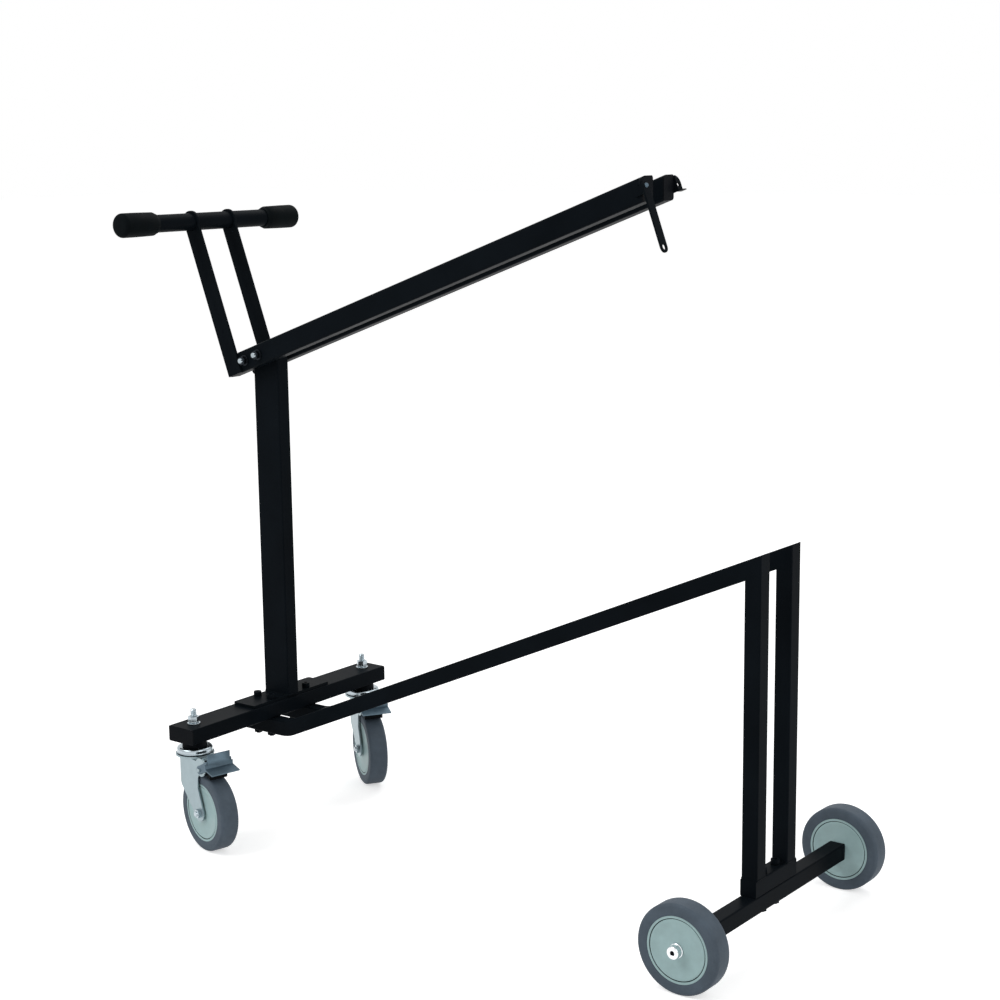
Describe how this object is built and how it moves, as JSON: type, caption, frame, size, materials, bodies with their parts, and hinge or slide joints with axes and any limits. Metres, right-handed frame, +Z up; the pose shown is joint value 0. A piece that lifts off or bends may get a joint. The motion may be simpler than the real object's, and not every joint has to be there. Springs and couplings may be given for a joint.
{
  "type": "music stand cart",
  "caption": "Rolling cart for music stands: sloping slotted arm on a mast with a handle and swing latch, sloping lower frame, braked swivel casters in front, fixed wheels behind.",
  "frame": {"origin": "on the floor, under the middle of the bounding box", "axes": "+X from the handle towards the rear wheels, +Y across the cart from the latch's rail to the catch's rail, +Z up"},
  "size_m": [1.152, 0.51, 1.068],
  "materials": {
    "black_paint": "satin black powder coat",
    "black_plastic": "matte black",
    "grip_rubber": "soft matte black",
    "tyre_rubber": "non-marking grey rubber",
    "hub_plastic": "pale grey-green moulding",
    "zinc_plate": "zinc plated",
    "chrome": "bright chrome"
  },
  "bodies": {
    "root": {"cross_bar": "black_paint", "mast": "black_paint", "mast_foot_plate": "black_paint", "foot_bolts": "black_paint", "lower_beam_near": "black_paint", "lower_beam_far": "black_paint", "post_near": "black_paint", "post_far": "black_paint", "rear_foot_tube": "black_paint", "axle_beam": "black_paint", "rail_near": "black_paint", "rail_far": "black_paint", "handle_upright_near": "black_paint", "handle_upright_far": "black_paint", "handle_bar": "black_paint", "latch_brackets": "black_paint", "foot_nuts": "black_paint", "rear_foot_bolts": "black_paint", "rear_foot_nuts": "black_paint", "tube_end_caps": "black_plastic", "caster_collar_near": "black_plastic", "caster_collar_far": "black_plastic", "grip_near": "grip_rubber", "grip_far": "grip_rubber", "axle_inserts": "zinc_plate", "axle_bolts": "zinc_plate", "axle_washers": "zinc_plate", "rail_bolts": "zinc_plate", "rail_nuts": "zinc_plate", "rail_spacers": "zinc_plate", "latch_pivot": "zinc_plate", "end_rivets": "zinc_plate", "caster_stem_near": "zinc_plate", "caster_stem_far": "zinc_plate", "caster_nut_near": "zinc_plate", "caster_nut_far": "zinc_plate", "axle_caps": "chrome"},
    "caster_fork_near": {"caster_fork_near": "zinc_plate", "caster_balls_near": "zinc_plate", "caster_axle_near": "zinc_plate"},
    "caster_wheel_near": {"caster_tyre_near": "tyre_rubber", "caster_hub_near": "hub_plastic", "caster_covers_near": "hub_plastic"},
    "brake_near": {"brake_pedal_near": "zinc_plate", "brake_block_near": "black_plastic"},
    "rear_wheel_near": {"rear_tyre_near": "tyre_rubber", "rear_hub_near": "hub_plastic", "rear_covers_near": "hub_plastic"},
    "caster_fork_far": {"caster_fork_far": "zinc_plate", "caster_balls_far": "zinc_plate", "caster_axle_far": "zinc_plate"},
    "caster_wheel_far": {"caster_tyre_far": "tyre_rubber", "caster_hub_far": "hub_plastic", "caster_covers_far": "hub_plastic"},
    "brake_far": {"brake_pedal_far": "zinc_plate", "brake_block_far": "black_plastic"},
    "rear_wheel_far": {"rear_tyre_far": "tyre_rubber", "rear_hub_far": "hub_plastic", "rear_covers_far": "hub_plastic"},
    "latch": {"latch_strap": "black_paint"}
  },
  "joints": [
    {"name": "caster_swivel_near", "type": "hinge", "parent": "root", "child": "caster_fork_near", "pos_m": [-0.42752, -0.2049, 0.15], "axis": [0, 0, 1], "continuous": true},
    {"name": "caster_spin_near", "type": "hinge", "parent": "caster_fork_near", "child": "caster_wheel_near", "pos_m": [-0.38714, -0.21489, 0.0635], "axis": [0.2402, 0.9707, 0], "continuous": true},
    {"name": "brake_press_near", "type": "hinge", "parent": "caster_fork_near", "child": "brake_near", "pos_m": [-0.3784, -0.21706, 0.138], "axis": [0.2402, 0.9707, 0], "range_deg": [0, 8]},
    {"name": "rear_spin_near", "type": "hinge", "parent": "root", "child": "rear_wheel_near", "pos_m": [0.51248, -0.2271, 0.0635], "axis": [0, 1, 0], "continuous": true},
    {"name": "caster_swivel_far", "type": "hinge", "parent": "root", "child": "caster_fork_far", "pos_m": [-0.42752, 0.2049, 0.15], "axis": [0, 0, 1], "continuous": true},
    {"name": "caster_spin_far", "type": "hinge", "parent": "caster_fork_far", "child": "caster_wheel_far", "pos_m": [-0.39291, 0.18182, 0.0635], "axis": [0.5548, 0.832, 0], "continuous": true},
    {"name": "brake_press_far", "type": "hinge", "parent": "caster_fork_far", "child": "brake_far", "pos_m": [-0.38542, 0.17683, 0.138], "axis": [0.5548, 0.832, 0], "range_deg": [0, 8]},
    {"name": "rear_spin_far", "type": "hinge", "parent": "root", "child": "rear_wheel_far", "pos_m": [0.51248, 0.2271, 0.0635], "axis": [0, 1, 0], "continuous": true},
    {"name": "latch_swing", "type": "hinge", "parent": "root", "child": "latch", "pos_m": [0.33126, -0.0439, 1.05473], "axis": [0.9397, 0, 0.342], "range_deg": [-270, 75]}
  ]
}
